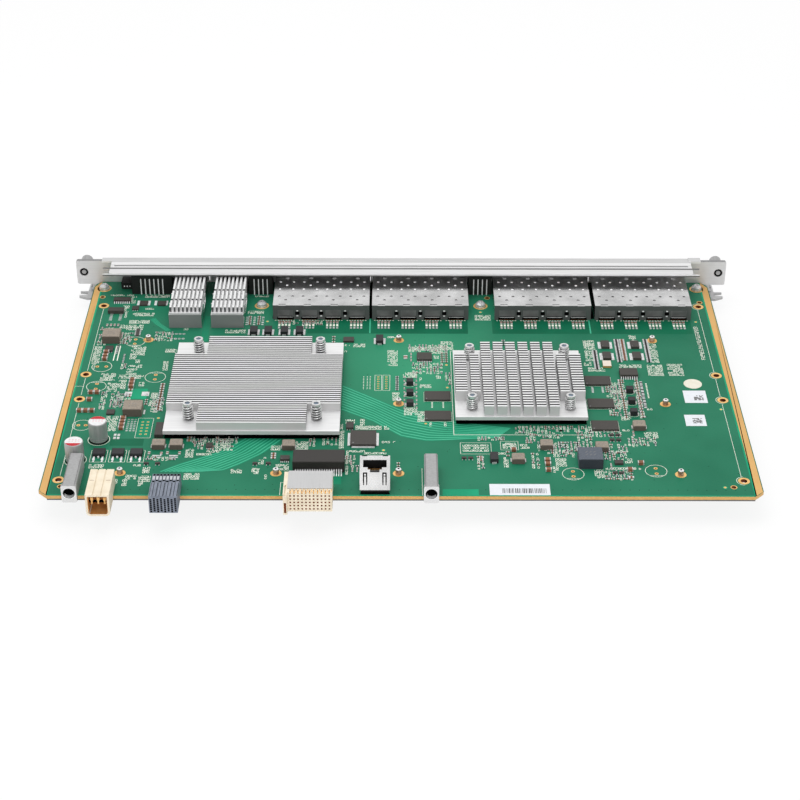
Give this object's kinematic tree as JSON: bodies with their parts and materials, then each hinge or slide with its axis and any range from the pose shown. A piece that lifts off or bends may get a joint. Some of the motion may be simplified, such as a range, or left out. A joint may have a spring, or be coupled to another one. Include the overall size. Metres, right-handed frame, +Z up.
{
  "type": "switch line card",
  "caption": "Network switch line card: board with sheet front panel, caged pluggable ports, finned heat sinks and rear backplane connectors.",
  "frame": {"origin": "middle of the footprint at the height of the front panel's bottom edge", "axes": "+X to the right seen from the rear connectors, +Y out through the front panel, +Z up from the component side"},
  "size_m": [0.3994, 0.2624, 0.0309],
  "materials": {
    "board": "satin solder mask over glass laminate",
    "panel_sheet": "fine brushed zinc-plated sheet",
    "cage_sheet": "bright tinned sheet",
    "steel": "plated",
    "lever": "zinc-plated",
    "sink_metal": "bright milled",
    "guide_metal": "die-cast, satin",
    "black_plastic": "moulded",
    "cream_plastic": "moulded",
    "grey_plastic": "moulded",
    "clear_plastic": "clear moulded",
    "gold": "gold plated",
    "ferrite": "pressed powder",
    "ceramic": "fired ceramic",
    "can_metal": "bright",
    "can_foot": "moulded"
  },
  "bodies": {
    "card": {"big_heatsink": "sink_metal", "board_bracket": "panel_sheet", "board_studs": "steel", "bracket_screws": "steel", "can_feet": "can_foot", "captive_ferrules": "steel", "ceramic_capacitors": "ceramic", "chokes": "black_plastic", "circuit_board": "board", "crystal": "gold", "ejector_brackets": "panel_sheet", "ejector_pins": "steel", "electrolytic_cans": "can_metal", "front_panel": "panel_sheet", "grid_connector": "cream_plastic", "grid_shield": "cage_sheet", "guide_socket_left": "guide_metal", "guide_socket_right": "guide_metal", "heatsink_screws": "steel", "heatsink_springs": "steel", "jack_insert": "black_plastic", "jack_shell": "cage_sheet", "large_inductor": "ferrite", "light_housings": "black_plastic", "light_leads": "cage_sheet", "light_lenses": "clear_plastic", "logic_chips": "black_plastic", "logic_leads": "cage_sheet", "medium_inductors": "ferrite", "memory_chips": "black_plastic", "panel_hood": "panel_sheet", "panel_screws": "steel", "panel_washers": "steel", "port_cage_1": "cage_sheet", "port_cage_2": "cage_sheet", "port_cage_3": "cage_sheet", "port_cage_4": "cage_sheet", "port_connectors": "black_plastic", "power_blades": "gold", "power_connector": "cream_plastic", "power_transistors": "black_plastic", "reset_switch": "black_plastic", "signal_connector": "grey_plastic", "sink_chips": "black_plastic", "small_heatsink": "sink_metal", "small_inductors": "ferrite", "thermal_pads": "grey_plastic", "transformer_leads": "cage_sheet", "transformer_module": "black_plastic", "transistor_leads": "cage_sheet", "wide_cage_1": "cage_sheet", "wide_cage_2": "cage_sheet", "wide_clips": "cage_sheet", "wide_connectors": "black_plastic", "wide_heatsinks": "sink_metal"},
    "ejector_left": {"ejector_left": "lever"},
    "ejector_right": {"ejector_right": "lever"},
    "captive_left": {"captive_screw_left": "steel"},
    "captive_right": {"captive_screw_right": "steel"},
    "reset_button": {"reset_button": "black_plastic"}
  },
  "joints": [
    {"name": "ejector_left_swing", "type": "hinge", "parent": "card", "child": "ejector_left", "pos_m": [-0.188, 0.12408, 0.00665], "axis": [0, 0, 1], "range_deg": [0, 40]},
    {"name": "ejector_right_swing", "type": "hinge", "parent": "card", "child": "ejector_right", "pos_m": [0.188, 0.12408, 0.00665], "axis": [0, 0, -1], "range_deg": [0, 40]},
    {"name": "captive_left_slide", "type": "slide", "parent": "card", "child": "captive_left", "axis": [0, -1, 0], "range_m": [0, 0.0035]},
    {"name": "captive_right_slide", "type": "slide", "parent": "card", "child": "captive_right", "axis": [0, -1, 0], "range_m": [0, 0.0035]},
    {"name": "reset_press", "type": "slide", "parent": "card", "child": "reset_button", "axis": [0, -1, 0], "range_m": [0, 0.0008], "stiffness_N_per_m": 200}
  ]
}
